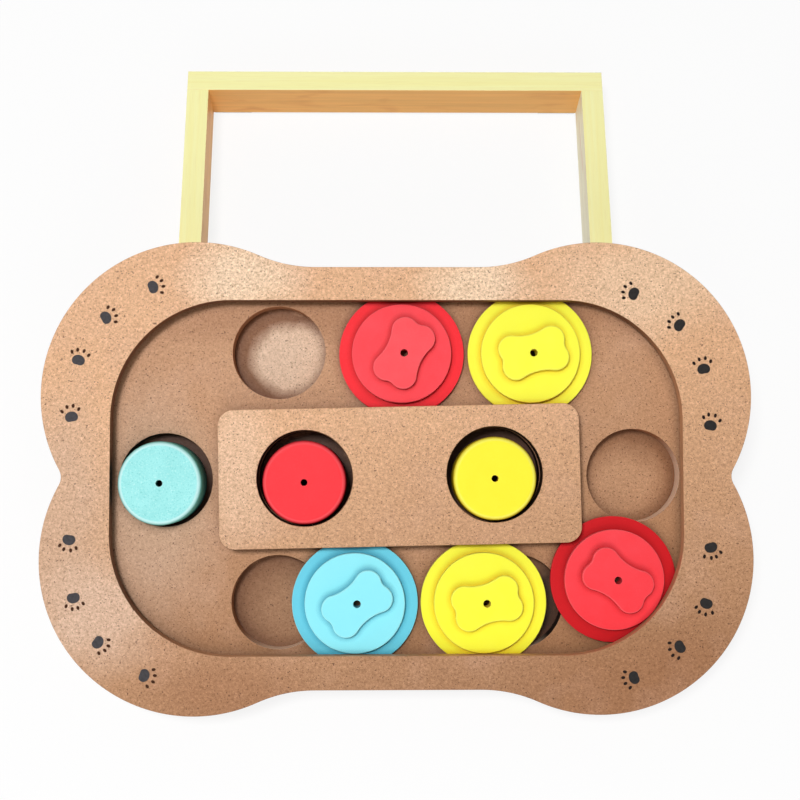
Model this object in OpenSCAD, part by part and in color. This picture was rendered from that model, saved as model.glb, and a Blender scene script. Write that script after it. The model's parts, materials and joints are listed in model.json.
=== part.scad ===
// Dog puzzle feeder: a bone-shaped fibreboard tray with a sliding-disc track,
// lift-out cups and a folding pine stand that tips the tray towards the dog.
// Millimetres. The tray is drawn flat in its own frame (X across, Y up its slope,
// Z out of its back) and then tipped onto the table: +Z up, front edge towards -Y.

/* [Tray outline] */
// Width of the rim at the middle of each long side
rim_side = 16.9; // [16:0.1:22]
// Width of the rim at the waist of each end
rim_end = 24.4; // [23:0.2:28]
// Radius of the four corner lobes
lobe_r = 77.5; // [76:0.1:82]
// How far each lobe's centre lies inside the opening's end
lobe_in_x = 42.6; // [42:0.2:45]
// How far each lobe's centre lies inside the opening's side
lobe_in_y = 48; // [47:0.2:50]
// Radius that blends a lobe into the straight side
blend_r = 70; // [30:1:80]

/* [Tray layers] */
// Thickness of the back board, the floor of the pockets
back_t = 5; // [4:0.5:9]
// Depth of the pockets, which go right through the pocket board
pocket_depth = 10; // [6:0.5:14]
// Height of the slot that the disc flanges slide in
slot_t = 4.5; // [4:0.25:6]
// Thickness of the rim and of the centre plate
rim_t = 7; // [5:0.5:10]
// How far the slot reaches under the rim and under the plate
undercut = 7; // [6.8:0.1:8]
// Corner radius of the opening in the rim
open_r = 60; // [58:1:64]

/* [Centre plate] */
// Length of the centre plate
plate_length = 181.8; // [176:0.2:186]
// Width of the centre plate
plate_width = 70; // [68:1:76]
// Corner radius of the centre plate
plate_r = 8; // [6:1:12]
// Turn of the plate, as it was glued on
plate_turn = 1.1; // [0:0.1:1.2]
// Sideways place of the plate from the middle of the opening
plate_x = 1.2; // [0:0.1:1.3]
// Place of the plate up the slope from the middle of the opening
plate_y = 0.3; // [0:0.1:0.3]
// How far the centre of each cup hole lies inside the plate's end
cup_hole_in = 43.25; // [36:0.05:48]
// Diameter of the plate's cup holes
cup_place_d = 48.2; // [47.6:0.1:50]

/* [Pockets] */
// Diameter of every treat pocket
pocket_d = 47.5; // [46:0.5:48]
// How far the four corner pockets lie inside the start of the track's corners
corner_pocket_in = 23.5; // [22:0.5:32]
// How far the left end pocket lies outside the middle of the track
left_pocket_out = 0.25; // [-1:0.25:2]
// How far the right end pocket lies outside the middle of the track
right_pocket_out = 3.25; // [0:0.25:4.75]
// Place of the left end pocket up the slope
left_pocket_y = -1.5; // [-2:0.1:2]
// Place of the right end pocket up the slope
right_pocket_y = 0.5; // [-2:0.1:2]

/* [Discs] */
// Diameter of the flange that stays captive in the slot
flange_d = 63.6; // [62:0.2:64]
// Thickness of the flange
flange_t = 3; // [2:0.25:3.5]
// Diameter of the raised disc that runs between rim and plate
raised_d = 50.4; // [46:0.2:52]
// Thickness of the raised disc
raised_t = 4; // [2:0.5:6]
// Free play of a raised disc between the rim and the plate's long sides
track_play = 3.6; // [3.4:0.1:6]
// Free play of a raised disc between the rim and the plate's ends
end_play = 2.5; // [2.5:0.1:6]
// Clearance between a raised disc and the wall it leans on
disc_play = 0.4; // [0.3:0.05:0.5]
// How far the upper discs have dropped towards the centre plate
disc_drop = 1; // [0:0.1:1]
// Diameter of the hole through each disc
disc_hole_d = 3.8; // [2:0.2:5]
// How far the upper yellow disc lies inside the start of the track's corner
yellow_in = 16; // [12:0.1:16]
// Space between the flanges of the two upper discs
upper_gap = 1.9; // [0.4:0.1:6]
// Space between the flanges of the blue disc and the lower yellow disc
blue_gap = 1.4; // [0.4:0.1:4]
// Space between the flanges of the lower yellow disc and the corner disc
corner_gap = 3.2; // [0.4:0.1:4]
// Angle of the corner disc round the opening's corner, below the level
corner_turn = 42; // [30:0.5:43]

/* [Bone grips] */
// Length of a bone grip
grip_length = 34.4; // [30:0.2:42]
// Width of a bone grip over its lobes
grip_width = 22.9; // [22:0.1:26]
// Width of a bone grip at its waist
grip_waist = 19.1; // [17:0.1:20.5]
// Radius of a grip's lobes
grip_lobe_r = 6.8; // [6.2:0.1:7]
// Depth of the notch in each end of a grip
grip_notch = 0.9; // [0.5:0.1:1.1]
// Thickness of a grip
grip_t = 4; // [2:0.5:8]
// How far the grips were glued off the middle of their discs
grip_shift = 1.2; // [0:0.1:2]

/* [Cups] */
// Outer diameter of a cup
cup_d = 42; // [40:0.2:44]
// Height of a cup
cup_h = 22; // [16:0.5:30]
// Rounding of the cup's top edge
cup_edge_r = 2.8; // [1:0.2:4]
// Wall thickness of a cup
cup_wall = 4; // [3:0.5:6]
// Thickness of a cup's top
cup_top_t = 5; // [4.5:0.5:8]
// Diameter of the scent hole in a cup's top
cup_hole_d = 3.3; // [2:0.2:6]

/* [Stand] */
// How far the outer face of each leg lies outside the lobes' centres
leg_out = 16.3; // [14:0.1:20]
// Thickness of the pine strips, seen from the front
strip_w = 12; // [10:0.5:14]
// Depth of the pine strips
strip_depth = 24; // [20:1:27]
// Length of the stand from its pivot to its outer edge
arm_length = 165; // [150:1:168]
// Distance of the pivot up the slope from the upper lobes' centres
pivot_up = 26; // [25:0.2:28]
// Angle between the open stand and the tray
open_angle = 15.5; // [13:0.5:18]

/* [Stand fittings] */
// Diameter of the pivot bolts
bolt_d = 6; // [5:0.5:8]
// Width of a pivot block, across the tray
block_w = 22; // [20:1:26]
// Length of a pivot block, up the slope
block_length = 34; // [32:1:36]
// Thickness of the washer between block and leg
washer_t = 1.2; // [1:0.2:2]
// Diameter of the wood screws' shanks
screw_d = 3.6; // [3:0.2:4]
// How far the block screws bite into the tray
screw_bite = 9; // [7:0.5:12]
// How far the block screws lie inside the blocks' ends
screw_in = 5.5; // [5:0.5:8]
// Length of the screws that hold the crossbar
crossbar_screw_length = 40; // [30:1:50]
// Length of the stop wedges, up the slope
wedge_length = 24; // [18:1:26]
// Distance between a stop wedge and its pivot block
wedge_gap = 2; // [1:0.5:4]

/* [Feet] */
// Thickness of the front feet at their thin end
foot_t = 2; // [1.5:0.25:4]
// Length of the front feet, up the slope
foot_length = 12; // [8:1:14]
// Width of every foot and pad
foot_width = 22; // [16:1:30]
// How far the front feet lie inside the tray's front edge
foot_in = 3; // [2:0.5:5]
// Thickness of the rear pads at their thin end
pad_t = 1.5; // [1:0.25:4]
// How far the rear pads lie inside the crossbar's inner face
pad_in = 1; // [0.5:0.25:2]

/* [Fits] */
// Space left over the rear pads when the stand lies folded
fold_clear = 1.5; // [0.5:0.25:3]
// Clearance round pieces that move
move_gap = 0.3; // [0.2:0.05:0.4]
// Radial clearance of a bolt in its bore
running_gap = 0.07; // [0.03:0.01:0.1]
// Radial clearance of a screw in its pilot hole
screw_gap = 0.05; // [0.02:0.01:0.1]

/* [Hidden] */
$fn = 96;
over = 1; // how far a cut runs past the face it opens

// Colours
fibreboard = [0.82, 0.66, 0.50];
fibreboard_floor = [0.72, 0.55, 0.42];
pine = [0.96, 0.89, 0.62];
steel = [0.75, 0.75, 0.77];
rubber = [0.20, 0.20, 0.20];
red = [0.95, 0.23, 0.25];
yellow = [1.00, 0.93, 0.18];
blue = [0.50, 0.86, 0.92];
aqua = [0.62, 0.90, 0.87];

// Opening, track and tray, out from the plate and the discs
raised_r = raised_d / 2;
open_hx = plate_length / 2 + raised_d + end_play;
open_hy = plate_width / 2 + raised_d + track_play;
floor_z = back_t + pocket_depth;
plate_z = floor_z + slot_t;
tray_t = plate_z + rim_t;
lobe_x = open_hx - lobe_in_x;
lobe_y = open_hy - lobe_in_y;
side_y = open_hy + rim_side;
waist_x = open_hx + rim_end;

// Discs: the rows that they run in, and the corner that the last one runs round
row_y = open_hy - raised_r - disc_play;
corner_x = open_hx - open_r;
corner_y = open_hy - open_r;
corner_path_r = open_r - raised_r - disc_play;
track_x = open_hx - (raised_d + end_play) / 2;

// Pockets, each [x, y]
plate_holes = [for (side = [-1, 1])
    [plate_x, plate_y] + side * (plate_length / 2 - cup_hole_in) * [cos(plate_turn), sin(plate_turn)]];
pocket_x = corner_x - corner_pocket_in;
left_pocket = [-track_x - left_pocket_out, left_pocket_y];
right_pocket = [track_x + right_pocket_out, right_pocket_y];
pockets = concat(
    [for (x = [-pocket_x, pocket_x], y = [-row_y, row_y]) [x, y]],
    [left_pocket, right_pocket], plate_holes);
cup_lean = (pocket_d - cup_d) / 2 - 2 * move_gap;

// Stand: its pivot below the tray's back, and a point of a leg in the tray's frame.
// Folded, it lies under the tray's back with its rear pads in between.
pivot_y = lobe_y + pivot_up;
pivot_z = -strip_depth / 2 - pad_t - fold_clear;
leg_x = lobe_x + leg_out;
leg_in_x = leg_x - strip_w;
block_x = leg_in_x - move_gap - washer_t;
block_h = strip_depth;
function on_leg(y, z) = [
    pivot_y + y * cos(open_angle) + z * sin(open_angle),
    pivot_z - y * sin(open_angle) + z * cos(open_angle)];
function leg_front_z(y) = pivot_z + strip_depth / 2 / cos(open_angle) - (y - pivot_y) * tan(open_angle);
wedge_y = pivot_y + block_length / 2 + wedge_gap;

// Fastener proportions
bolt_head_r = bolt_d;
bolt_head_t = 0.55 * bolt_d;
bolt_tail = 0.25 * bolt_d;
nut_t = 0.85 * bolt_d;
nut_r = 0.96 * bolt_d;
washer_r = 1.35 * bolt_d;
block_screw_y = block_length / 2 - screw_in;
block_screw_length = block_h + screw_bite;
screw_head_r = screw_d;

// Slope at which the front feet and the rear pads both stand flat
foot_y = -(lobe_y + lobe_r) + foot_in;
foot_x = lobe_x;
rear = on_leg(arm_length, -strip_depth / 2);
reach = norm([rear[0] - foot_y, rear[1]]);
slope = atan2(-rear[1], rear[0] - foot_y) + asin((pad_t - foot_t) / reach);
tray_z = foot_t - foot_y * sin(slope);
function tipped(p) = [p[0] * cos(slope) - p[1] * sin(slope), p[0] * sin(slope) + p[1] * cos(slope)];
front_reach = tipped([-(lobe_y + lobe_r), tray_t])[0];
rear_reach = max(tipped(rear)[0], tipped(on_leg(arm_length, strip_depth / 2))[0]);
tray_y = -(front_reach + rear_reach) / 2;
function placed(p) = tipped(p) + [tray_y, tray_z];

// Points along an arc
function arc(c, r, from, to, n = 24) =
    [for (i = [0 : n]) c + r * [cos(from + (to - from) * i / n), sin(from + (to - from) * i / n)]];
// A quarter outline, from the X axis to the Y axis, repeated in all four quadrants
function reversed(p) = [for (i = [len(p) - 1 : -1 : 0]) p[i]];
function scaled(p, s) = [for (q = p) [q[0] * s[0], q[1] * s[1]]];
function four_quarters(q) = concat(
    q, reversed(scaled(q, [-1, 1])), scaled(q, [-1, -1]), reversed(scaled(q, [1, -1])));
// Radius of the hollow arc that touches two lobes, each lobe [out, aside] from the hollow
function hollow_r(out, aside, r) = (out * out + aside * aside - r * r) / (2 * (r - out));

function tray_quarter() =
    let (
        hr = hollow_r(waist_x - lobe_x, lobe_y, lobe_r),
        hx = waist_x + hr,
        by = side_y + blend_r,
        bx = lobe_x - sqrt(pow(lobe_r + blend_r, 2) - pow(by - lobe_y, 2))
    )
    concat(
        arc([hx, 0], hr, 180, atan2(lobe_y, lobe_x - hx), 10),
        arc([lobe_x, lobe_y], lobe_r, atan2(-lobe_y, hx - lobe_x), atan2(by - lobe_y, bx - lobe_x), 72),
        arc([bx, by], blend_r, atan2(lobe_y - by, lobe_x - bx), -90, 16));

function grip_quarter() =
    let (
        ax = grip_length / 2 - grip_lobe_r,
        ay = grip_width / 2 - grip_lobe_r,
        end = grip_length / 2 - grip_notch,
        er = hollow_r(end - ax, ay, grip_lobe_r),
        sr = hollow_r(grip_waist / 2 - ay, ax, grip_lobe_r),
        ex = end + er,
        sy = grip_waist / 2 + sr
    )
    concat(
        arc([ex, 0], er, 180, atan2(ay, ax - ex), 6),
        arc([ax, ay], grip_lobe_r, atan2(-ay, ex - ax), atan2(sy - ay, -ax), 24),
        arc([0, sy], sr, atan2(ay - sy, ax), -90, 12));

function rounded_quarter(hx, hy, r) = concat([[hx, 0]], arc([hx - r, hy - r], r, 0, 90, 30), [[0, hy]]);

// Puts a piece drawn in the tray's frame where it stands on the table
module on_tray() translate([0, tray_y, tray_z]) rotate([slope, 0, 0]) children();
module on_stand() on_tray() translate([0, pivot_y, pivot_z]) rotate([-open_angle, 0, 0]) children();
module mirrored(side) scale([side, 1, 1]) children();
// Draws an outline given in Y and Z as a bar across X
module across(x, w) translate([x, 0, 0]) rotate([90, 0, 90]) linear_extrude(w) children();

module tray_outline() polygon(four_quarters(tray_quarter()));
module opening(grow) polygon(four_quarters(rounded_quarter(open_hx + grow, open_hy + grow, open_r + grow)));
module plate_outline(grow)
    polygon(four_quarters(rounded_quarter(plate_length / 2 + grow, plate_width / 2 + grow, plate_r)));
module on_plate() translate([plate_x, plate_y, 0]) rotate(plate_turn) children();
module cup_holes(z, h) for (p = plate_holes) translate([p[0], p[1], z]) cylinder(d = cup_place_d, h = h);

// Wood screw along -Z with its head flush at Z = 0, and the hole that it sits in
module screw(length, gap) translate([0, 0, -length]) {
    cylinder(d = screw_d + 2 * gap, h = length);
    translate([0, 0, length - screw_head_r + screw_d / 2])
        cylinder(r1 = screw_d / 2 + gap, r2 = screw_head_r + gap, h = screw_head_r - screw_d / 2);
}
module screw_hole(length) {
    screw(length, screw_gap);
    cylinder(r = screw_head_r + screw_gap, h = over);
}

module tray_screw_holes() for (side = [-1, 1])
    mirrored(side) block_screw_places() screw_hole(block_screw_length);

module back_board() color(fibreboard_floor) on_tray() difference() {
    linear_extrude(back_t) tray_outline();
    tray_screw_holes();
}

module pocket_board() color(fibreboard_floor) on_tray() difference() {
    translate([0, 0, back_t]) linear_extrude(pocket_depth) tray_outline();
    for (p = pockets)
        translate([p[0], p[1], back_t - over]) cylinder(d = pocket_d, h = pocket_depth + 2 * over);
    tray_screw_holes();
}

module spacer_ring() color(fibreboard_floor) on_tray() translate([0, 0, floor_z])
    linear_extrude(slot_t) difference() {
        tray_outline();
        opening(undercut);
    }

module rim_ring() color(fibreboard) on_tray() translate([0, 0, plate_z])
    linear_extrude(rim_t) difference() {
        tray_outline();
        opening(0);
    }

module center_spacer() color(fibreboard_floor) on_tray() difference() {
    translate([0, 0, floor_z]) on_plate() linear_extrude(slot_t) plate_outline(-undercut);
    cup_holes(floor_z - over, slot_t + 2 * over);
}

module center_plate() color(fibreboard) on_tray() difference() {
    translate([0, 0, plate_z]) on_plate() linear_extrude(rim_t) plate_outline(0);
    cup_holes(plate_z - over, rim_t + 2 * over);
}

// Discs: flange, raised disc and bone grip, stacked on the track floor
flange_z = floor_z + move_gap;
raised_z = flange_z + flange_t;
grip_z = raised_z + raised_t;
module disc_place(p, z) on_tray() translate([p[0], p[1], z]) children();
module disc_hole(h) translate([grip_shift, 0, -over]) cylinder(d = disc_hole_d, h = h + 2 * over);
module disc_flange(p) disc_place(p, flange_z) difference() {
    cylinder(d = flange_d, h = flange_t);
    disc_hole(flange_t);
}
module disc_raised(p) disc_place(p, raised_z) difference() {
    cylinder(d = raised_d, h = raised_t);
    disc_hole(raised_t);
}
module disc_grip(p, turn) disc_place(p, grip_z) difference() {
    translate([grip_shift, 0, 0]) rotate(turn)
        linear_extrude(grip_t) polygon(four_quarters(grip_quarter()));
    disc_hole(grip_t);
}
yellow_place = [corner_x - yellow_in, row_y - disc_drop];
red_place = yellow_place - [flange_d + upper_gap, 0];
corner_place = [corner_x, -corner_y] + corner_path_r * [cos(corner_turn), -sin(corner_turn)];
lower_pitch = flange_d + corner_gap;
corner_rise = corner_place[1] + row_y;
lower_yellow_place = [corner_place[0] - sqrt(pow(lower_pitch, 2) - pow(corner_rise, 2)), -row_y];
blue_place = lower_yellow_place - [flange_d + blue_gap, 0];
// How far each bone grip is turned from the X axis
red_turn = 63.3;
yellow_turn = 13.9;
blue_turn = 37;
lower_yellow_turn = 14.5;
corner_grip_turn = -34;

module red_disc_flange() color(red) disc_flange(red_place);
module red_disc_raised() color(red) disc_raised(red_place);
module red_disc_grip() color(red) disc_grip(red_place, red_turn);
module yellow_disc_flange() color(yellow) disc_flange(yellow_place);
module yellow_disc_raised() color(yellow) disc_raised(yellow_place);
module yellow_disc_grip() color(yellow) disc_grip(yellow_place, yellow_turn);
module blue_disc_flange() color(blue) disc_flange(blue_place);
module blue_disc_raised() color(blue) disc_raised(blue_place);
module blue_disc_grip() color(blue) disc_grip(blue_place, blue_turn);
module lower_yellow_disc_flange() color(yellow) disc_flange(lower_yellow_place);
module lower_yellow_disc_raised() color(yellow) disc_raised(lower_yellow_place);
module lower_yellow_disc_grip() color(yellow) disc_grip(lower_yellow_place, lower_yellow_turn);
module corner_disc_flange() color(red) disc_flange(corner_place);
module corner_disc_raised() color(red) disc_raised(corner_place);
module corner_disc_grip() color(red) disc_grip(corner_place, corner_grip_turn);

// Direction from the middle of its pocket that each cup has slid to
aqua_lean = 227;
red_lean = 262;
yellow_lean = 272;
// Cups stand upside down in their pockets, off the middle towards `lean` degrees
module cup(pocket, lean) {
    r = cup_d / 2;
    on_tray() translate(concat(pocket + cup_lean * [cos(lean), sin(lean)], back_t + move_gap))
        difference() {
            rotate_extrude() polygon(concat(
                [[0, 0], [r, 0]],
                arc([r - cup_edge_r, cup_h - cup_edge_r], cup_edge_r, 0, 90, 8),
                [[0, cup_h]]));
            translate([0, 0, -over]) cylinder(r = r - cup_wall, h = cup_h - cup_top_t + over);
            cylinder(d = cup_hole_d, h = cup_h + over);
        }
}
module aqua_cup() color(aqua) cup(left_pocket, aqua_lean);
module red_cup() color(red) cup(plate_holes[0], red_lean);
module yellow_cup() color(yellow) cup(plate_holes[1], yellow_lean);

// Stand
module stand_leg(side) color(pine) on_stand() mirrored(side) difference() {
    translate([leg_in_x, 0, 0]) union() {
        translate([0, 0, -strip_depth / 2]) cube([strip_w, arm_length - strip_w, strip_depth]);
        rotate([0, 90, 0]) cylinder(d = strip_depth, h = strip_w);
    }
    translate([leg_in_x - over, 0, 0])
        rotate([0, 90, 0]) cylinder(r = bolt_d / 2 + running_gap, h = strip_w + 2 * over);
    crossbar_screw_place() screw_hole(crossbar_screw_length);
}
module stand_leg_left() stand_leg(-1);
module stand_leg_right() stand_leg(1);

module crossbar_screw_place()
    translate([leg_x - strip_w / 2, arm_length, 0]) rotate([-90, 0, 0]) children();
module stand_crossbar() color(pine) on_stand() difference() {
    translate([-leg_x, arm_length - strip_w, -strip_depth / 2]) cube([2 * leg_x, strip_w, strip_depth]);
    for (side = [-1, 1])
        mirrored(side) crossbar_screw_place() screw_hole(crossbar_screw_length);
}
module crossbar_screw(side) color(steel)
    on_stand() mirrored(side) crossbar_screw_place() screw(crossbar_screw_length, 0);
module crossbar_screw_left() crossbar_screw(-1);
module crossbar_screw_right() crossbar_screw(1);

// Pivot blocks, screwed to the tray's back from below, and their bolts
module block_screw_places()
    for (y = [-block_screw_y, block_screw_y])
        translate([block_x - block_w / 2, pivot_y + y, -block_h]) rotate([180, 0, 0]) children();
module on_pivot(side)
    on_tray() mirrored(side) translate([0, pivot_y, pivot_z]) rotate([0, 90, 0]) children();
module pivot_block(side) color(pine) difference() {
    on_tray() mirrored(side) difference() {
        translate([block_x - block_w, pivot_y - block_length / 2, -block_h])
            cube([block_w, block_length, block_h]);
        block_screw_places() screw_hole(block_screw_length);
    }
    on_pivot(side) translate([0, 0, block_x - block_w - over])
        cylinder(r = bolt_d / 2 + running_gap, h = block_w + 2 * over);
}
module pivot_block_left() pivot_block(-1);
module pivot_block_right() pivot_block(1);

module pivot_bolt(side) color(steel) on_pivot(side) {
    bolt_in = block_x - block_w - nut_t - bolt_tail;
    bolt_out = leg_x + move_gap;
    translate([0, 0, bolt_in]) cylinder(d = bolt_d, h = bolt_out - bolt_in);
    translate([0, 0, bolt_out]) cylinder(r = bolt_head_r, h = bolt_head_t);
}
module pivot_bolt_left() pivot_bolt(-1);
module pivot_bolt_right() pivot_bolt(1);

module pivot_nut(side) color(steel)
    on_pivot(side) translate([0, 0, block_x - block_w - nut_t]) difference() {
        cylinder(r = nut_r, h = nut_t, $fn = 6);
        translate([0, 0, -over]) cylinder(r = bolt_d / 2 + running_gap, h = nut_t + 2 * over);
    }
module pivot_nut_left() pivot_nut(-1);
module pivot_nut_right() pivot_nut(1);

module leg_washer(side) color(steel) on_pivot(side) translate([0, 0, block_x]) difference() {
    cylinder(r = washer_r, h = washer_t);
    translate([0, 0, -over]) cylinder(r = bolt_d / 2 + running_gap, h = washer_t + 2 * over);
}
module leg_washer_left() leg_washer(-1);
module leg_washer_right() leg_washer(1);

module block_screws(side) color(steel)
    on_tray() mirrored(side) block_screw_places() screw(block_screw_length, 0);
module block_screws_left() block_screws(-1);
module block_screws_right() block_screws(1);

// Stop wedges on the tray's back, which the open legs lean against
module stop_wedge(side) color(pine) on_tray() mirrored(side) across(leg_in_x, strip_w) polygon([
    [wedge_y, 0], [wedge_y, leg_front_z(wedge_y) + move_gap],
    [wedge_y + wedge_length, leg_front_z(wedge_y + wedge_length) + move_gap], [wedge_y + wedge_length, 0]]);
module stop_wedge_left() stop_wedge(-1);
module stop_wedge_right() stop_wedge(1);

// Feet and pads: wedges between the sloping wood and the table
module wedge_to_table(x, a, b) across(x - foot_width / 2, foot_width) polygon([[a[0], 0], [b[0], 0], b, a]);
module front_foot(side) color(rubber)
    wedge_to_table(side * foot_x, placed([foot_y, 0]), placed([foot_y + foot_length, 0]));
module front_foot_left() front_foot(-1);
module front_foot_right() front_foot(1);
module rear_pad(side) color(rubber)
    wedge_to_table(side * (leg_in_x - foot_width / 2),
        placed(on_leg(arm_length - strip_w + pad_in, -strip_depth / 2)),
        placed(on_leg(arm_length, -strip_depth / 2)));
module rear_pad_left() rear_pad(-1);
module rear_pad_right() rear_pad(1);

back_board();
pocket_board();
spacer_ring();
rim_ring();
center_spacer();
center_plate();
red_disc_flange();
red_disc_raised();
red_disc_grip();
yellow_disc_flange();
yellow_disc_raised();
yellow_disc_grip();
blue_disc_flange();
blue_disc_raised();
blue_disc_grip();
lower_yellow_disc_flange();
lower_yellow_disc_raised();
lower_yellow_disc_grip();
corner_disc_flange();
corner_disc_raised();
corner_disc_grip();
aqua_cup();
red_cup();
yellow_cup();
stand_leg_left();
stand_leg_right();
stand_crossbar();
pivot_block_left();
pivot_block_right();
pivot_bolt_left();
pivot_bolt_right();
pivot_nut_left();
pivot_nut_right();
leg_washer_left();
leg_washer_right();
block_screws_left();
block_screws_right();
crossbar_screw_left();
crossbar_screw_right();
stop_wedge_left();
stop_wedge_right();
front_foot_left();
front_foot_right();
rear_pad_left();
rear_pad_right();
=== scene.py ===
"""Looks of the dog puzzle feeder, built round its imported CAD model. Lengths are in metres."""

import json
import math
import random
from collections import namedtuple

import bmesh
import bpy
from mathutils import Matrix, Vector


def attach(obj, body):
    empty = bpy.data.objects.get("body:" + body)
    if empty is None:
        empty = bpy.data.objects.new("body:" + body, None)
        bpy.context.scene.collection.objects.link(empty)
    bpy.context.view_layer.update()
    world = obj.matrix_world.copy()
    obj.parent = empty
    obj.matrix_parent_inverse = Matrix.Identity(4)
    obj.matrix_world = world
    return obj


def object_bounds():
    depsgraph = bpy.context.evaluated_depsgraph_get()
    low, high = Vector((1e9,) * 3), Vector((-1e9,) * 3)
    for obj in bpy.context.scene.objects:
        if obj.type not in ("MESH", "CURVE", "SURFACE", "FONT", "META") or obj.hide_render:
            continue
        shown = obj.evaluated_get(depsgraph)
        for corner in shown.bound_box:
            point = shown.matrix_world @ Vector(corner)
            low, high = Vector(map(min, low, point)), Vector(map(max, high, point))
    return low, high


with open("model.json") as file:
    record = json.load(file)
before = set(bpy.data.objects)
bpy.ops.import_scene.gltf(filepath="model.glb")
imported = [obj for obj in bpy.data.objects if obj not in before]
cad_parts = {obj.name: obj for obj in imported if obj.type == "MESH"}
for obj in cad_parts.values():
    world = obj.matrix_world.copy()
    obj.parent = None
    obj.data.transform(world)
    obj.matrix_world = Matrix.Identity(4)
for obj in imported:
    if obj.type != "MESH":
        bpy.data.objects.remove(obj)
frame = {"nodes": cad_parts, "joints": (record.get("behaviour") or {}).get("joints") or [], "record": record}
cad_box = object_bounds()
MM = 0.001

# The tray's own axes: across it, up its slope and out of its face, which is the way the cups lift
cup_lift = next(joint for joint in frame["joints"] if joint["name"] == "red_cup_lift")
NORMAL = Vector(cup_lift["axis"]).normalized()
ACROSS = Vector((1, 0, 0))
UP_SLOPE = NORMAL.cross(ACROSS)
TRAY = Matrix((ACROSS, UP_SLOPE, NORMAL)).transposed()


def extent(name):
    """Lowest and highest places of a CAD node along the tray's axes."""
    points = [TRAY.transposed() @ v.co for v in frame["nodes"][name].data.vertices]
    return [Vector([pick(p[i] for p in points) for i in range(3)]) for pick in (min, max)]


def middle(name):
    """Middle of a CAD node's box along the tray's axes."""
    low, high = extent(name)
    return TRAY @ ((low + high) / 2)


# The middle of the rim's top face, from which places on the tray are counted
rim_low, rim_high = extent("rim_ring")
TOP = TRAY @ Vector(((rim_low.x + rim_high.x) / 2, (rim_low.y + rim_high.y) / 2, rim_high.z))

# Painted light fall-off: along this direction board and paint darken from the upper left to the lower right;
# the board also turns browner, from cream to tan
SHADE_FALLOFF_LENGTH = 165 * MM
SHADE_FALLOFF = (0.2 * ACROSS - 0.98 * UP_SLOPE) / SHADE_FALLOFF_LENGTH
SHADE_FALLOFF_START = SHADE_FALLOFF.dot(TOP) - 0.1

# The stand's own directions: along its legs and out of its front
legs = [middle("stand_leg_left"), middle("stand_leg_right")]
LEG = (middle("stand_crossbar") - (legs[0] + legs[1]) / 2).normalized()
STAND_FRONT = ACROSS.cross(LEG)


def linear(red, green, blue):
    """A colour given in sRGB steps from 0 to 255, as the shader takes it."""
    def step(value):
        value /= 255
        return value / 12.92 if value <= 0.04045 else ((value + 0.055) / 1.055) ** 2.4
    return (step(red), step(green), step(blue), 1.0)


def dimmed(colour, share):
    """A shader colour with only a share of its light."""
    return tuple(share * c for c in colour[:3]) + (1.0,)


# ---------------------------------------------------------------- shader nodes

# An oval of the tray with a tone; some ovals are painted sheen and painted shadow. Place and half size
# are in mm from the rim's middle, amount is how much of the tone shows, speckle adds to the grain,
# and fade is its edge's softness.
Patch = namedtuple("Patch", "x y half_length half_height tone amount speckle fade",
                   defaults=(0.5, 0.0, 0.5))


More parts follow.
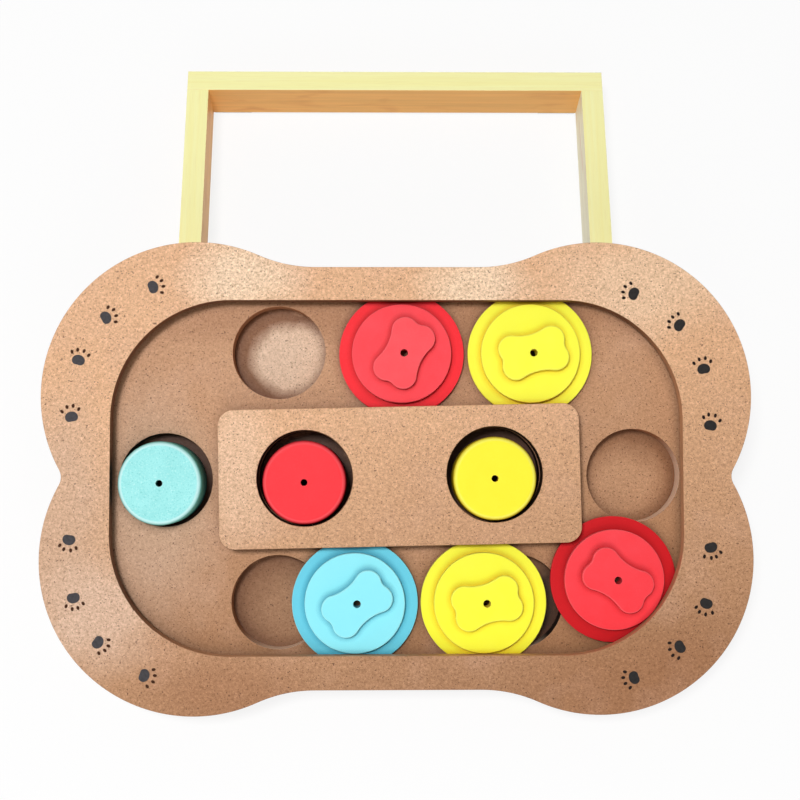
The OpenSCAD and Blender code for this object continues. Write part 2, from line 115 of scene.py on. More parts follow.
class Shade:
    """A material's node tree, with short calls for the nodes that it needs.

    Object coordinates are the rest pose's own places, so a pattern moves along with its piece.
    """

    def __init__(self, name):
        self.material = bpy.data.materials.new(name)
        self.material.use_nodes = True
        self.tree = self.material.node_tree
        self.tree.nodes.clear()
        self.shader = self.add("ShaderNodeBsdfPrincipled")
        self.out = self.add("ShaderNodeOutputMaterial")
        self.link(self.shader.outputs["BSDF"], self.out.inputs["Surface"])
        texture_place = self.add("ShaderNodeTexCoord")
        self.place = texture_place.outputs["Object"]
        self.normal = texture_place.outputs["Normal"]

    def add(self, kind, **settings):
        node = self.tree.nodes.new(kind)
        for key, value in settings.items():
            setattr(node, key, value)
        return node

    def link(self, source, target):
        self.tree.links.new(source, target)

    def feed(self, socket, value):
        """Links an output to an input, or sets the input to a plain value."""
        if isinstance(value, bpy.types.NodeSocket):
            self.link(value, socket)
        else:
            socket.default_value = value

    def vector(self, operation, first, second):
        node = self.add("ShaderNodeVectorMath", operation=operation)
        self.link(first, node.inputs[0])
        node.inputs[1].default_value = second
        return node.outputs

    def dot(self, vector, axis):
        return self.vector("DOT_PRODUCT", vector, axis)["Value"]

    def calc(self, operation, first, second=0.0):
        node = self.add("ShaderNodeMath", operation=operation)
        self.feed(node.inputs[0], first)
        self.feed(node.inputs[1], second)
        return node.outputs[0]

    def plus(self, first, second):
        return self.calc("ADD", first, second)

    def times(self, first, second):
        return self.calc("MULTIPLY", first, second)

    def stretched(self, axes, sizes, start=None):
        """Place along three axes from a start, each counted in steps of its own size."""
        where = self.place
        if start is not None:
            where = self.vector("SUBTRACT", where, start)[0]
        node = self.add("ShaderNodeCombineXYZ")
        for i in range(3):
            self.link(self.dot(where, axes.col[i] / sizes[i]), node.inputs[i])
        return node.outputs[0]

    def noise(self, size, detail=2.0, roughness=0.5, where=None, distortion=0.0):
        """Cloudy noise from about 0.2 to 0.8, whose largest clouds have the given size."""
        node = self.add("ShaderNodeTexNoise")
        self.link(where or self.place, node.inputs["Vector"])
        node.inputs["Scale"].default_value = 1 / size
        node.inputs["Detail"].default_value = detail
        node.inputs["Roughness"].default_value = roughness
        node.inputs["Distortion"].default_value = distortion
        return node.outputs["Fac"]

    def span(self, value, low, high, to_low=0.0, to_high=1.0):
        """The value's way from low to high, as a way from to_low to to_high that stops at both ends."""
        node = self.add("ShaderNodeMapRange", clamp=True)
        self.feed(node.inputs["Value"], value)
        ends = {"From Min": low, "From Max": high, "To Min": to_low, "To Max": to_high}
        for key, number in ends.items():
            node.inputs[key].default_value = number
        return node.outputs[0]

    def mix(self, amount, first, second, blend="MIX"):
        node = self.add("ShaderNodeMix", data_type="RGBA", blend_type=blend)
        self.feed(node.inputs["Factor"], amount)
        self.feed(node.inputs[6], first)
        self.feed(node.inputs[7], second)
        return node.outputs[2]

    def bump(self, height, distance, strength=1.0, over=None):
        node = self.add("ShaderNodeBump")
        node.inputs["Strength"].default_value = strength
        node.inputs["Distance"].default_value = distance
        self.link(height, node.inputs["Height"])
        if over:
            self.link(over, node.inputs["Normal"])
        return node.outputs[0]

    def around(self, patch, wobble=0.0):
        """1 inside a patch of the tray, fading to 0 past its edge, which a wobble may make uneven."""
        start = TOP + TRAY @ Vector((patch.x, patch.y, 0)) * MM
        step = self.stretched(TRAY, (patch.half_length * MM, patch.half_height * MM, 1.0), start)
        node = self.add("ShaderNodeVectorMath", operation="LENGTH")
        self.link(step, node.inputs[0])
        away = self.plus(node.outputs["Value"], wobble)
        return self.span(away, 1.0 + patch.fade, 1.0 - patch.fade)

    def crevice(self, reach):
        """1 in a tight corner, 0 out in the open, as the surfaces within reach crowd it."""
        node = self.add("ShaderNodeAmbientOcclusion", samples=5)
        node.inputs["Distance"].default_value = reach
        return self.span(node.outputs["AO"], 0.98, 0.45)

    def facing(self, axis):
        """How squarely the surface faces along an axis of its piece, 0 to 1."""
        return self.calc("ABSOLUTE", self.dot(self.normal, axis))

    def skin(self, colour, roughness, specular, normal):
        """Wires what the shader shows and returns its material."""
        inputs = self.shader.inputs
        self.feed(inputs["Base Color"], colour)
        self.feed(inputs["Roughness"], roughness)
        self.feed(inputs["Specular IOR Level"], specular)
        self.feed(inputs["Normal"], normal)
        return self.material


# ---------------------------------------------------------------- fibreboard

# The last tone is painted shade for corners and the foot of walls
PINKISH, FIBRE, SPECK, CORNER_SHADE = (212, 168, 140), (120, 76, 48), (78, 48, 34), (84, 46, 24)
LIGHTER, DARKER = (1.42, 1.48, 1.56, 1.0), (0.55, 0.49, 0.42, 1.0)  # factors on the board's own colour
BLOTCH_SIZE, CLOUD_SIZE, MOTTLE_SIZE = 32 * MM, 26 * MM, 1.3 * MM
SPECK_SIZE, TOOTH_SIZE = 0.75 * MM, 0.35 * MM
FIBRE_SIZE = (0.7 * MM, 0.38 * MM, 0.38 * MM)
FIBRE_TURNS = ((25, 0.11), (80, 0.37), (140, 0.83))  # degrees on the face, and a share of the shift
FIBRE_SHIFT = (90, 57, 31)  # keeps the three layers of fibres from lining up
LAYER_SIZE = (9 * MM, 9 * MM, 0.5 * MM)
# Painted shade in corners reaches this far out from a wall's foot
BOARD_CORNER = 7 * MM  # how far a wall darkens the board at its foot
LIT_WALL = (0.7 * UP_SLOPE - 0.7 * ACROSS).normalized()


def mottled(shade, colour, mottle, strength, grain):
    """The board's colour with its mottle, its short fibres in three directions, and dark specks."""
    light, dark = shade.span(mottle, 0.52, 0.66), shade.span(mottle, 0.48, 0.33)
    colour = shade.mix(shade.times(light, strength), colour, LIGHTER, "MULTIPLY")
    colour = shade.mix(shade.times(dark, strength), colour, DARKER, "MULTIPLY")
    for turn, seed in FIBRE_TURNS:
        axes = TRAY @ Matrix.Rotation(math.radians(turn), 3, "Z")
        shift = tuple(seed * s for s in FIBRE_SHIFT)
        where = shade.vector("ADD", shade.stretched(axes, FIBRE_SIZE), shift)[0]
        fibre = shade.noise(1, 1, 0.5, where)
        colour = shade.mix(shade.span(fibre, 0.67, 0.74, 0.0, 0.6), colour, linear(*FIBRE))
        colour = shade.mix(shade.span(fibre, 0.31, 0.24, 0.0, grain), colour, LIGHTER, "MULTIPLY")
    speck = shade.noise(SPECK_SIZE, 0, 0.5)
    return shade.mix(shade.span(speck, 0.735, 0.78, 0.0, 0.8), colour, linear(*SPECK))


def cut_edge(shade, dark, lit, cut_shadows):
    """The board's cut edge: fine darker layers, painted shade that is darkest on a wall that faces
    the lower right, painted light on one that faces the upper left, and painted deep shade where patches
    lie."""
    # Painted light and shade by the way a wall faces
    paler = shade.span(shade.dot(shade.normal, LIT_WALL), -0.2, 0.6)
    layers = shade.noise(1, 2, 0.6, shade.stretched(TRAY, LAYER_SIZE))
    burn = shade.mix(paler, linear(*dark), linear(*lit))
    cut = shade.mix(shade.span(layers, 0.35, 0.65, 0.0, 0.3), burn, linear(*dark))
    # Painted deep shade on the cut walls that these patches cover
    for patch in cut_shadows:
        cut = shade.mix(shade.around(patch), cut, linear(*patch.tone))
    return cut


def fibreboard(name, cream, tan, cut_dark, cut_lit, patches, cut_shadows, grain=0.45):
    """Sanded fibreboard: cream darkening to tan as painted light fall-off, specks and flecks, patches of
    tone, among them painted sheen and shadow, painted shade in corners, and cut edges painted lit and
    shaded.
    """
    shade = Shade(name)
    blotch = shade.noise(BLOTCH_SIZE, 3, 0.6)
    # Painted light fall-off: cream darkening to tan towards the lower right, made uneven by the blotches
    drift = shade.plus(shade.dot(shade.place, SHADE_FALLOFF), shade.times(blotch, 0.3))
    colour = shade.mix(shade.span(drift, SHADE_FALLOFF_START, SHADE_FALLOFF_START + 1), linear(*cream), linear(*tan))
    cloud = shade.noise(CLOUD_SIZE, 2, 0.5)
    colour = shade.mix(shade.span(cloud, 0.5, 0.72, 0.0, 0.25), colour, linear(*PINKISH))
    strength = grain
    wobble = shade.span(blotch, 0.2, 0.8, -0.3, 0.3)
    # The patches' tones, painted sheen and painted shadow among them
    for patch in patches:
        inside = shade.around(patch, wobble)
        colour = shade.mix(shade.times(inside, patch.amount), colour, linear(*patch.tone))
        strength = shade.plus(strength, shade.times(inside, patch.speckle))
    mottle = shade.noise(MOTTLE_SIZE, 4, 0.75)
    colour = mottled(shade, colour, mottle, strength, grain)
    # Painted shade in corners and at the foot of walls
    colour = shade.mix(shade.times(shade.crevice(BOARD_CORNER), 0.62), colour, linear(*CORNER_SHADE))
    # Cut edges, painted lit where they face the upper left and shaded where they face away
    side = shade.span(shade.facing(NORMAL), 0.35, 0.75, 1.0, 0.0)
    colour = shade.mix(side, colour, cut_edge(shade, cut_dark, cut_lit, cut_shadows))
    tooth = shade.bump(shade.noise(TOOTH_SIZE, 2, 0.6), 0.03 * MM, 0.6)
    return shade.skin(colour, shade.span(mottle, 0.3, 0.7, 0.62, 0.46), 0.22,
                      shade.bump(mottle, 0.05 * MM, 0.5, tooth))


# Tones in turn: painted sheen, a greyish tone, painted shadow and painted deep shade
PAINTED_SHEEN, GREYISH, SHADED, PAINTED_DEEP_SHADE = (248, 226, 196), (206, 172, 146), (152, 100, 64), (26, 15, 9)
WELL = 27  # a little over a well's radius in mm, so that its patch covers the wall too


def well(x, y, tone, amount):
    """A crisp round patch that fills a well of the tray."""
    return Patch(x, y, WELL, WELL, tone, amount, fade=0.04)


# Painted deep shade in the wells under the cups, on their floors and on the cut walls round them
cups = [TRAY.transposed() @ (middle(name) - TOP) / MM for name in ("aqua_cup", "red_cup", "yellow_cup")]
shade_under_cups = [well(cup.x, cup.y, PAINTED_DEEP_SHADE, 0.95) for cup in cups]
# The deep shade in the lower right pocket, beside the disc that rests over it
dark_side = Patch(85, -65, 15, 34, PAINTED_DEEP_SHADE, 0.93, fade=0.28)
# On the rim: painted sheen, a highlight with stronger specks, near the top; painted shadow at the lower left
# and lower right; besides other patches of tone
rim_patches = [
    Patch(-79, 101, 24, 18, PAINTED_SHEEN, speckle=0.3), Patch(40, 96, 23, 14, PAINTED_SHEEN, speckle=0.3),
    Patch(122, 96, 40, 24, PAINTED_SHEEN, 0.3), Patch(-168, -20, 24, 52, GREYISH, 0.6),
    Patch(-148, -68, 26, 24, (226, 194, 170), 0.6), Patch(-85, -107, 34, 16, SHADED, 0.4),
    Patch(120, -98, 44, 26, SHADED, 0.35), Patch(-81, 2, 18, 34, (236, 202, 172), 0.45)]
# Painted shadow along the foot of the top wall, and a greyish tone at the left
floor_patches = [Patch(10, 84, 120, 14, SHADED, 0.5), Patch(-125, -22, 30, 52, GREYISH, 0.6)]
# The treat pockets' floors: painted shadow round each rim, and a paler lit middle that lies off its centre
pocket_patches = [
    well(-62, 62.5, (122, 78, 48), 0.85), Patch(-54.5, 60.5, 19, 18.5, (236, 204, 176), 0.85, fade=0.22),
    well(-61.5, -65.5, (122, 82, 54), 0.85), Patch(-55, -70, 18, 20, (176, 132, 98), 0.8, fade=0.4),
    well(121, 1, (136, 92, 60), 0.8), Patch(117, -5, 20, 18, (204, 156, 118), 0.8, fade=0.4),
    dark_side]
# Darker than the rim's tones: painted shade on the boards that lie below the rim
shaded_inner_tones = (197, 149, 112), (164, 116, 77)  # at the board's upper left and lower right
# Cut tones: painted shade for a cut facing away from the light, painted light for one facing it
cut_shade_and_light = (98, 56, 30), (200, 148, 110)  # on a cut that faces the lower right and the upper left
board_top = fibreboard(
    "fibreboard_top", (222, 174, 134), (165, 119, 84), *cut_shade_and_light, rim_patches, shade_under_cups, grain=0.68)
board_inner = fibreboard(
    "fibreboard_inner", *shaded_inner_tones, *cut_shade_and_light, floor_patches + shade_under_cups, shade_under_cups)
board_back = fibreboard(
    "fibreboard_back", *shaded_inner_tones, *cut_shade_and_light, pocket_patches + shade_under_cups, shade_under_cups)
# Pocket walls: painted shade where a wall faces away from the light, painted light where it faces it
board_pockets = fibreboard(
    "fibreboard_pockets", *shaded_inner_tones, (160, 108, 74), (250, 220, 194), floor_patches,
    shade_under_cups + [dark_side])

# ---------------------------------------------------------------- paint

# Painted shade in creases reaches this far out from the foot of a step
PAINT_CORNER = 3.4 * MM  # how far a step darkens the paint at its foot


def paint(name, base, deep, pale, crease_shade, grain=0.0, side_light_tone=None):
    """Matt paint on fibreboard: faint clouds, fine pores, painted shade that deepens it towards the lower
    right and in creases, paler rounded edges, and painted shade on the sides where a side tone is given."""
    shade = Shade(name)
    base, deep, pale, crease_shade = (linear(*tone) for tone in (base, deep, pale, crease_shade))
    cloud = shade.noise(9 * MM, 3, 0.55)
    # Painted shade: the paint deepens towards the lower right with the light's fall-off, and in faint clouds
    drift = shade.dot(shade.place, SHADE_FALLOFF)
    deeper = shade.plus(shade.span(drift, SHADE_FALLOFF_START + 0.3, SHADE_FALLOFF_START + 0.8, 0.0, 0.7),
                        shade.span(cloud, 0.3, 0.7, 0.0, 0.3))
    colour = shade.mix(deeper, base, deep)
    pores = shade.noise(0.8 * MM, 3, 0.7)
    colour = shade.mix(shade.span(pores, 0.56, 0.72, 0.0, 0.2 + grain), colour, deep)
    colour = shade.mix(shade.span(pores, 0.42, 0.28, 0.0, 0.2 + grain), colour, pale)
    facing = shade.facing(NORMAL)
    colour = shade.mix(shade.span(facing, 0.995, 0.93, 0.0, 0.75), colour, pale)
    # Painted shade: the sides darkened as they lie out of the light
    if side_light_tone:
        colour = shade.mix(shade.span(facing, 0.85, 0.35), colour, linear(*side_light_tone))
    # Painted shade in creases and at the foot of steps
    colour = shade.mix(shade.times(shade.crevice(PAINT_CORNER), 0.75), colour, crease_shade)
    waves = shade.bump(shade.noise(2.2 * MM, 2, 0.5), 0.04 * MM, 0.35)
    return shade.skin(colour, shade.span(pores, 0.3, 0.7, 0.46, 0.58), 0.12,
                      shade.bump(pores, (0.015 + 0.06 * grain) * MM, 0.6, waves))


# Painted shade tones for the creases of each paint
red_crease_shade, yellow_crease_shade = (166, 14, 22), (220, 170, 8)
blue_crease_shade, aqua_crease_shade = (40, 132, 160), (44, 118, 116)
red = paint("red_paint", (253, 76, 85), (252, 54, 62), (254, 98, 105), red_crease_shade)
red_grip = paint("red_grip_paint", (253, 86, 93), (252, 62, 70), (254, 108, 114), red_crease_shade)
red_flange = paint("red_flange_paint", (250, 46, 56), (244, 38, 46), (253, 78, 86), red_crease_shade)
# The corner disc's flange: painted darker red, as the plate's shadow on it
red_shaded_corner = paint("red_corner_paint", (212, 26, 34), (204, 22, 30), (236, 50, 58), red_crease_shade)
yellow = paint("yellow_paint", (254, 252, 74), (254, 250, 52), (255, 253, 100), yellow_crease_shade)
blue = paint("blue_paint", (150, 241, 252), (144, 236, 248), (176, 249, 254), blue_crease_shade)
# The blue flange: painted darker than the raised blue, as shade
blue_shaded_flange = paint("blue_flange_paint", (112, 214, 236), (104, 205, 228), (150, 236, 249), blue_crease_shade)
red_cup = paint("red_cup_paint", (252, 58, 66), (250, 50, 58), (253, 88, 95), red_crease_shade,
                side_light_tone=(200, 30, 40))
yellow_cup = paint("yellow_cup_paint", (254, 244, 58), (253, 236, 46), (255, 249, 104), yellow_crease_shade,
                   side_light_tone=(224, 190, 36))
aqua = paint("aqua_paint", (168, 240, 238), (104, 200, 198), (214, 253, 251), aqua_crease_shade,
             grain=0.6, side_light_tone=(104, 184, 172))

# ---------------------------------------------------------------- pine, steel, rubber and ink

KNOT, PINE_GRAIN = (206, 122, 58), (196, 148, 88)
STREAK_SIZE = (120 * MM, 2.6 * MM, 2.6 * MM)
GRAIN_SIZE = (14 * MM, 0.3 * MM, 0.3 * MM)
KNOT_SIZE = (34 * MM, 9 * MM, 9 * MM)


def pine(name, along, front, streak, side_light_tone):
    """Planed pine: long soft streaks and fine grain along the strip, a pale front painted as brightly lit,
    and side faces in a given tone painted for the light on them, warmer as shaded, paler as lit.
    """
    shade = Shade(name)
    axes = Matrix((along, STAND_FRONT, along.cross(STAND_FRONT))).transposed()
    streaks = shade.noise(1, 3, 0.55, shade.stretched(axes, STREAK_SIZE), distortion=0.4)
    grain = shade.noise(1, 2, 0.6, shade.stretched(axes, GRAIN_SIZE))
    colour = shade.mix(shade.span(streaks, 0.35, 0.7), linear(*front), linear(*streak))
    # Painted light and shade: side faces take the given side tone in place of the front's pale lit one
    side = shade.span(shade.facing(STAND_FRONT), 0.35, 0.8, 1.0, 0.0)
    knots = shade.noise(1, 2, 0.5, shade.stretched(axes, KNOT_SIZE), distortion=0.6)
    side_light = shade.mix(shade.span(streaks, 0.3, 0.7), linear(*side_light_tone), dimmed(linear(*side_light_tone), 0.86))
    side_light = shade.mix(shade.span(knots, 0.55, 0.8, 0.0, 0.5), side_light, linear(*KNOT))
    colour = shade.mix(side, colour, side_light)
    colour = shade.mix(shade.span(grain, 0.5, 0.75, 0.0, 0.1), colour, linear(*PINE_GRAIN))
    return shade.skin(colour, shade.span(grain, 0.3, 0.7, 0.42, 0.56), 0.35,
                      shade.bump(grain, 0.03 * MM, 0.5))


def zinc(name):
    """Zinc-plated steel with a brushed, slightly clouded skin."""
    shade = Shade(name)
    cloud = shade.noise(3 * MM, 4, 0.6)
    colour = shade.mix(cloud, linear(208, 208, 204), linear(170, 172, 176))
    brushed = shade.noise(1, 2, 0.6, shade.stretched(TRAY, (0.2 * MM, 2 * MM, 2 * MM)))
    shade.shader.inputs["Metallic"].default_value = 1.0
    return shade.skin(colour, shade.span(cloud, 0.3, 0.7, 0.28, 0.45), 0.5,
                      shade.bump(brushed, 0.01 * MM, 0.4))


def rubber(name, tone, far_tone):
    """Dull dark rubber or ink with a fine even tooth, which drifts to a far tone across the tray."""
    shade = Shade(name)
    cloud = shade.noise(1.5 * MM, 3, 0.6)
    drift = shade.span(shade.dot(shade.place, ACROSS), -0.13, 0.03)
    colour = shade.mix(drift, linear(*tone), linear(*far_tone))
    colour = shade.mix(shade.times(cloud, 0.6), colour, linear(20, 18, 18))
    return shade.skin(colour, shade.span(cloud, 0.3, 0.7, 0.6, 0.8), 0.1,
                      shade.bump(shade.noise(0.4 * MM), 0.03 * MM, 0.5))


# Pale front tones for the stand, painted as brightly lit
stand_pine_lit = (255, 252, 186), (253, 247, 172)
foot_tone = (44, 44, 46)

LOOKS = {
    "fibreboard": board_top, "fibreboard_inner": board_inner,
    "red_paint": red, "yellow_paint": yellow, "blue_paint": blue, "aqua_paint": aqua,
    "pine": pine("pine_block", UP_SLOPE, (244, 228, 160), (234, 212, 142), (236, 204, 138)),
    "zinc_steel": zinc("zinc_plate"), "rubber": rubber("foot_rubber", foot_tone, foot_tone)}
OWN_LOOKS = {
    "pocket_board": board_pockets, "back_board": board_back,
    "red_cup": red_cup, "yellow_cup": yellow_cup,
    "red_disc_grip": red_grip, "red_disc_flange": red_flange,
    "corner_disc_flange": red_shaded_corner, "blue_disc_flange": blue_shaded_flange,
    # Side tones: painted shade, orange, on the crossbar and left leg; painted light, pale, on the right leg
    "stand_crossbar": pine("pine_crossbar", ACROSS, *stand_pine_lit, (255, 194, 112)),
    "stand_leg_left": pine("pine_left_leg", LEG, *stand_pine_lit, (255, 200, 126)),
    "stand_leg_right": pine("pine_right_leg", LEG, *stand_pine_lit, (255, 253, 222))}

# ---------------------------------------------------------------- CAD pieces

SHARP = math.radians(28)
FLAT = math.radians(0.5)
WELD = 0.01 * MM
HOLE_REACH = 4 * MM  # edges this near the middle of a grip belong to its hole
HOLE_SHARE = 0.25  # of the grip's rounding on the edges of its hole

# Width and steps of the rounded edges, by a word in the node's name. The first that fits counts.
ROUNDING = {
    "_grip": (0.9 * MM, 4), "_raised": (0.5 * MM, 3), "_cup": (0.3 * MM, 2),
    "screw": (0.15 * MM, 2), "nut": (0.15 * MM, 2), "washer": (0.15 * MM, 2),
    "rim_ring": (0.6 * MM, 3), "center_plate": (0.7 * MM, 3), "pocket_board": (0.5 * MM, 3),
    "spacer_ring": (0.3 * MM, 3), "center_spacer": (0.3 * MM, 3), "back_board": (0.8 * MM, 3),
    "": (0.4 * MM, 3)}


def sharp_edges(mesh):
    """Edges of a split mesh where its faces meet at a sharp angle, found by place."""
    def key(v):
        return tuple(round(c / WELD) for c in mesh.vertices[v].co)
    faces = {}
    for face in mesh.polygons:
        for a, b in face.edge_keys:
            faces.setdefault(frozenset((key(a), key(b))), []).append(face.normal)
    for edge in mesh.edges:
        sides = faces.get(frozenset(key(v) for v in edge.vertices), [])
        if len(sides) > 1 and sides[0].angle(sides[-1], 0) > SHARP:
            yield edge


def soften(obj, width, steps):
    """Welds a CAD piece with modifiers, which leave its mesh as it is, and rounds its edges."""
    for face in obj.data.polygons:
        face.use_smooth = True
    weld = obj.modifiers.new("weld", "WELD")
    weld.merge_threshold = WELD
    flat = obj.modifiers.new("flat faces", "DECIMATE")
    flat.decimate_type = "DISSOLVE"
    flat.angle_limit = FLAT
    bevel = obj.modifiers.new("rounded edges", "BEVEL")
    bevel.width = width
    bevel.segments = steps
    bevel.limit_method = "ANGLE"
    bevel.angle_limit = SHARP
    bevel.harden_normals = True
    flatten = obj.modifiers.new("flat shading", "WEIGHTED_NORMAL")
    flatten.keep_sharp = True
    flatten.weight = 50
    return bevel


def keep_hole_crisp(obj, bevel, centre):
    """Rounds the edges round a grip's hole less than its outer ones."""
    bevel.limit_method = "WEIGHT"
    weights = obj.data.attributes.new("bevel_weight_edge", "FLOAT", "EDGE")
    for edge in sharp_edges(obj.data):
        a, b = (obj.data.vertices[v].co for v in edge.vertices)
        out = (a + b) / 2 - centre
        near = (out - NORMAL * out.dot(NORMAL)).length < HOLE_REACH
        weights.data[edge.index].value = HOLE_SHARE if near else 1.0


slot_of = {row["node"]: row["material_slot"] for row in frame["record"]["subparts"]}
for name, obj in frame["nodes"].items():
    obj.data.materials.clear()
    obj.data.materials.append(OWN_LOOKS.get(name, LOOKS[slot_of[name]]))
    rounded = soften(obj, *next(size for word, size in ROUNDING.items() if word in name))
    if name.endswith("_grip"):
        # The hole lies in the middle of the grip, which is symmetric about it
        keep_hole_crisp(obj, rounded, middle(name))

# ---------------------------------------------------------------- paw prints

INK_T = 0.05 * MM
PAW_W, PAW_L = 6.5 * MM, 5.6 * MM
TOE_W, TOE_L = 1.5 * MM, 2.1 * MM
TOE_OUT, TOE_STEP = 5.55 * MM, 33  # from the heel's middle, and degrees from toe to toe
PAWS = (  # place on the rim from its middle in mm, and the way that the toes point in degrees
    (-123.1, 95.6, 20), (-146.6, 80.1, 30), (-160.0, 58.6, 75), (-163.1, 30.1, 100),
    (-163.7, -30.9, 262), (-161.2, -59.7, 280), (-148.9, -81.7, 325), (-125.9, -98.1, 340),
    (119.9, 92.3, 155), (142.9, 76.3, 145), (154.8, 54.0, 100), (157.8, 25.4, 80),
    (157.2, -35.5, 285), (154.5, -63.4, 250), (141.1, -84.9, 210), (118.0, -100.1, 199))


def blob(bm, centre, across, along, turn, heel=0.0, steps=28, slot=0):
    """A thin oval of ink on the rim, pushed in at its heel end by the share that heel gives."""
    rings = []
    for lift in (0.0, INK_T):
        ring = []
        for i in range(steps):
            a = 2 * math.pi * i / steps
            pinch = 1 - heel * max(0.0, math.cos(a - math.pi)) ** 6
            x, y = along / 2 * math.cos(a) * pinch, across / 2 * math.sin(a)
            c, s = math.cos(turn), math.sin(turn)
            place = Vector((centre[0] + c * x - s * y, centre[1] + s * x + c * y, lift))
            ring.append(bm.verts.new(TOP + TRAY @ place))
        rings.append(ring)
    bm.faces.new(reversed(rings[0])).material_index = slot
    bm.faces.new(rings[1]).material_index = slot
    for i in range(steps):
        j = (i + 1) % steps
        bm.faces.new((rings[0][i], rings[0][j], rings[1][j], rings[1][i])).material_index = slot


def paw_prints():
    """Sixteen common paw prints round the rim, each a heel and four slightly uneven toes."""
    draw = random.Random(7)
    bm = bmesh.new()
    for x, y, heading in PAWS:
        turn = math.radians(heading)
        blob(bm, (x * MM, y * MM), PAW_W, PAW_L, turn, 0.22)
        for k in range(4):
            spread = math.radians((k - 1.5) * TOE_STEP + draw.uniform(-3, 3))
            out = TOE_OUT * draw.uniform(0.96, 1.04)
            toe = (x * MM + out * math.cos(turn + spread), y * MM + out * math.sin(turn + spread))
            blob(bm, toe, TOE_W, TOE_L, turn + 0.6 * spread, steps=16, slot=1)
    mesh = bpy.data.meshes.new("paw_prints")
    bm.to_mesh(mesh)
    bm.free()
    obj = bpy.data.objects.new("paw_prints", mesh)
    bpy.context.scene.collection.objects.link(obj)
    mesh.materials.append(rubber("paw_ink", (84, 81, 84), (52, 49, 48)))
    mesh.materials.append(rubber("toe_ink", (80, 48, 30), (42, 28, 22)))
    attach(obj, "tray")


paw_prints()

# ---------------------------------------------------------------- stage, lights and camera

FLOOR_RADIUS = 8.0
FLOOR_PALE = (0.85, 0.85, 0.85, 1)
FLOOR_SHARE = 0.18  # how much of the floor's own light and shadow the camera sees
FLOOR_GLOW = 1.02 - FLOOR_SHARE  # the even white that it sees besides


def stage_material():
    """Pale floor that keeps a light shadow of the object but reads as white to the camera."""
    shade = Shade("white_floor")
    path = shade.add("ShaderNodeLightPath")
    seen = shade.calc("MAXIMUM", path.outputs["Is Camera Ray"], path.outputs["Is Glossy Ray"])
    seen = shade.calc("MAXIMUM", seen, path.outputs["Is Transmission Ray"])
    inputs = shade.shader.inputs
    shade.link(shade.mix(seen, FLOOR_PALE, dimmed(FLOOR_PALE, FLOOR_SHARE)), inputs["Base Color"])
    inputs["Roughness"].default_value = 0.9
    inputs["Specular IOR Level"].default_value = 0.0
    glow = shade.add("ShaderNodeEmission")
    shade.link(shade.times(seen, FLOOR_GLOW), glow.inputs["Strength"])
    both = shade.add("ShaderNodeAddShader")
    shade.link(shade.shader.outputs["BSDF"], both.inputs[0])
    shade.link(glow.outputs[0], both.inputs[1])
    shade.link(both.outputs[0], shade.out.inputs["Surface"])
    return shade.material


def stage():
    """A round floor under the object."""
    bm = bmesh.new()
    bmesh.ops.create_circle(bm, cap_ends=True, segments=96, radius=FLOOR_RADIUS)
    mesh = bpy.data.meshes.new("floor")
    bm.to_mesh(mesh)
    bm.free()
    floor = bpy.data.objects.new("floor", mesh)
    floor.location.z = cad_box[0].z
    bpy.context.scene.collection.objects.link(floor)
    mesh.materials.append(stage_material())


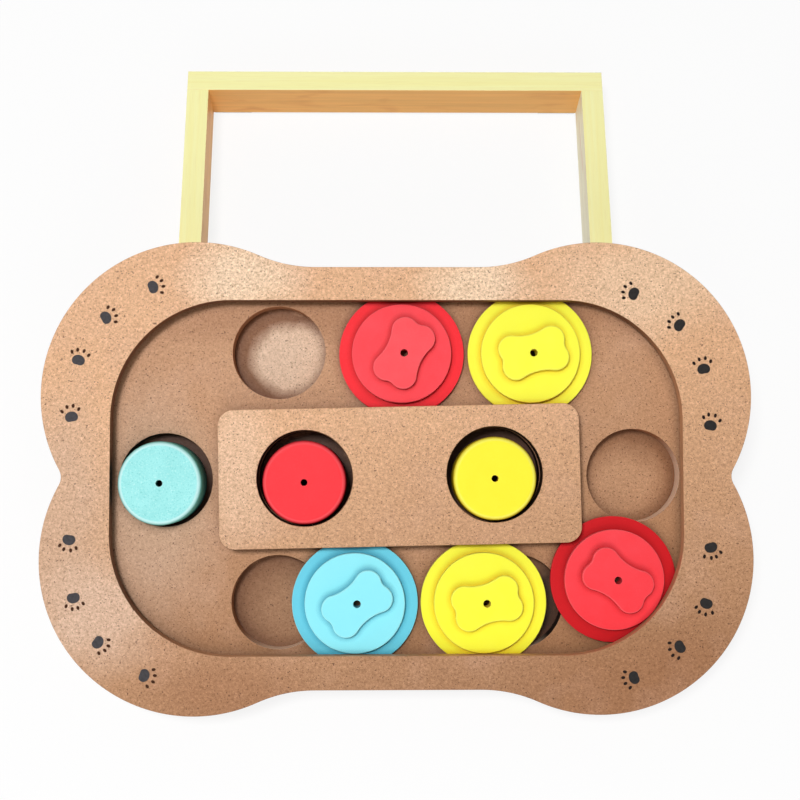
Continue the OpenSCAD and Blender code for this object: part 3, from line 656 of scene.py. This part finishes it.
def sky(foot, crown, seen):
    """A light tent, brighter at its foot than at its crown, and the plain backdrop that camera,
    gloss and glass see."""
    world = bpy.data.worlds.new("studio")
    bpy.context.scene.world = world
    world.use_nodes = True
    tree = world.node_tree
    tree.nodes.clear()
    path = tree.nodes.new("ShaderNodeLightPath")
    seen_by = path.outputs["Is Camera Ray"]
    for ray in ("Is Glossy Ray", "Is Transmission Ray"):
        either = tree.nodes.new("ShaderNodeMath")
        either.operation = "MAXIMUM"
        tree.links.new(seen_by, either.inputs[0])
        tree.links.new(path.outputs[ray], either.inputs[1])
        seen_by = either.outputs[0]
    place = tree.nodes.new("ShaderNodeTexCoord")
    height = tree.nodes.new("ShaderNodeSeparateXYZ")
    tree.links.new(place.outputs["Generated"], height.inputs[0])
    light = tree.nodes.new("ShaderNodeMapRange")
    tree.links.new(height.outputs["Z"], light.inputs["Value"])
    light.inputs["To Min"].default_value = foot
    light.inputs["To Max"].default_value = crown
    strength = tree.nodes.new("ShaderNodeMapRange")
    tree.links.new(seen_by, strength.inputs["Value"])
    tree.links.new(light.outputs[0], strength.inputs["To Min"])
    strength.inputs["To Max"].default_value = seen
    background = tree.nodes.new("ShaderNodeBackground")
    tree.links.new(strength.outputs[0], background.inputs["Strength"])
    out = tree.nodes.new("ShaderNodeOutputWorld")
    tree.links.new(background.outputs[0], out.inputs["Surface"])


def softbox(name, aside, up, out, size, watts):
    """A square lamp that faces the tray's middle, placed in the tray's own axes."""
    data = bpy.data.lights.new(name, "AREA")
    data.shape = "SQUARE"
    data.size = size
    data.energy = watts
    lamp = bpy.data.objects.new(name, data)
    place = TRAY @ Vector((aside, up, out))
    lamp.location = TOP + place
    lamp.rotation_euler = (-place).to_track_quat("-Z", "Y").to_euler()
    bpy.context.scene.collection.objects.link(lamp)


FOCAL_PX, FRAME_PX = 1265, 800  # focal length and frame width of the photo
SENSOR_MM = 36
CAMERA_TURN = (-2.9, 0.8, 0.05)  # degrees that the tray is turned from facing the camera
TRAY_FROM_CAMERA = Vector((-1.3, -38.5, -634)) * MM  # the rim's middle, in the camera's own axes


def camera():
    """The photo's camera, placed from the tray."""
    rx, ry, rz = (math.radians(a) for a in CAMERA_TURN)
    turn = Matrix.Rotation(ry, 3, "Y") @ Matrix.Rotation(rx, 3, "X") @ Matrix.Rotation(rz, 3, "Z")
    data = bpy.data.cameras.new("camera")
    data.sensor_width = SENSOR_MM
    data.lens = FOCAL_PX / FRAME_PX * SENSOR_MM
    data.clip_start = 0.02
    obj = bpy.data.objects.new("camera", data)
    facing_tray = Matrix.Translation(TOP) @ TRAY.to_4x4() @ turn.transposed().to_4x4()
    obj.matrix_world = facing_tray @ Matrix.Translation(-TRAY_FROM_CAMERA)
    bpy.context.scene.collection.objects.link(obj)
    bpy.context.scene.camera = obj


stage()
sky(foot=0.95, crown=0.0, seen=1.0)
softbox("key", aside=-0.3, up=0.3, out=1.55, size=0.3, watts=17.4)
softbox("front", aside=0.1, up=-0.82, out=0.87, size=0.7, watts=2.8)
camera()
bpy.context.scene.view_settings.view_transform = "Standard"
